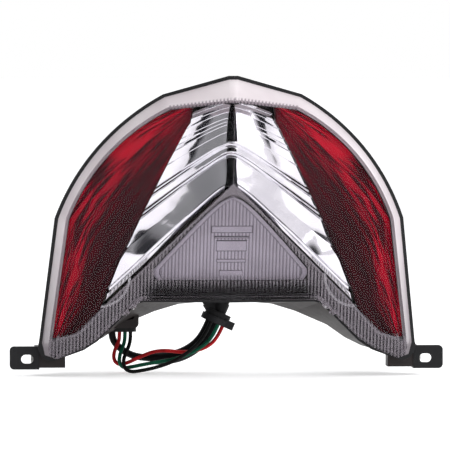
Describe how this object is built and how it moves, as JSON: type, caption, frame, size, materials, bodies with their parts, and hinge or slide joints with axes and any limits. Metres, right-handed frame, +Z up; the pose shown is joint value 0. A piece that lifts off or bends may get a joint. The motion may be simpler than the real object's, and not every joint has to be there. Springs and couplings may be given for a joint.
{
  "type": "motorcycle tail light",
  "caption": "Horseshoe-shaped clear-lens motorcycle tail light with red inner lenses, a chrome chevron reflector, a fluted window, side mounting tabs and a short wiring loop.",
  "frame": {"origin": "midway between the two slotted mounting holes, in the middle of the tabs' thickness", "axes": "+X to the right as seen from behind the motorcycle, +Y into the motorcycle, +Z up"},
  "size_m": [0.2518, 0.1209, 0.175],
  "materials": {
    "smoked_grey": "glossy warm grey moulding",
    "clear": "clear polished plastic",
    "black_seal": "satin black bead",
    "chrome": "bright metallised",
    "red_lens": "deep red translucent",
    "smoky_diffuser": "fluted smoky clear",
    "black_plastic": "matte black",
    "tab_black": "matte black paint",
    "rubber": "soft black rubber",
    "glass": "clear bulb glass",
    "bulb_base": "plain",
    "zinc": "zinc plated",
    "sleeve": "black sleeving",
    "red_wire": "red insulation",
    "green_wire": "green insulation",
    "black_wire": "black insulation",
    "connector": "black nylon"
  },
  "bodies": {
    "root": {"outer_lens": "clear", "lens_seal": "black_seal", "rear_housing": "smoked_grey", "chrome_reflector": "chrome", "reflector_screws": "zinc", "red_lens_right": "red_lens", "red_lens_left": "red_lens", "centre_diffuser": "smoky_diffuser", "plate_bulb_socket": "rubber", "plate_bulb": "glass", "mount_tab_right": "tab_black", "mount_tab_left": "tab_black", "tab_screws": "zinc", "breather_cap_left": "rubber", "breather_cap_right": "rubber", "leg_grommet": "rubber", "lead_grommet": "rubber", "harness_boot": "sleeve", "cable_tie": "black_plastic", "connector": "connector", "leg_sleeve_right": "sleeve", "leg_sleeve_left": "sleeve", "trunk_sleeve": "sleeve", "branch_tube": "sleeve", "red_lead": "red_wire", "green_lead": "green_wire", "black_lead": "black_wire", "bulb_reflector_left": "chrome", "bulb_reflector_right": "chrome"},
    "left_holder": {"bulb_holder_left": "black_plastic", "holder_seal_left": "rubber", "bulb_base_left": "bulb_base", "bulb_left": "glass"},
    "right_holder": {"bulb_holder_right": "black_plastic", "holder_seal_right": "rubber", "bulb_base_right": "bulb_base", "bulb_right": "glass"}
  },
  "joints": [
    {"name": "left_holder_twist", "type": "hinge", "parent": "root", "child": "left_holder", "pos_m": [-0.07399, 0, 0.04799], "axis": [0, 1, 0], "range_deg": [0, 30]},
    {"name": "right_holder_twist", "type": "hinge", "parent": "root", "child": "right_holder", "pos_m": [0.07399, 0, 0.04799], "axis": [0, 1, 0], "range_deg": [-30, 0]}
  ]
}
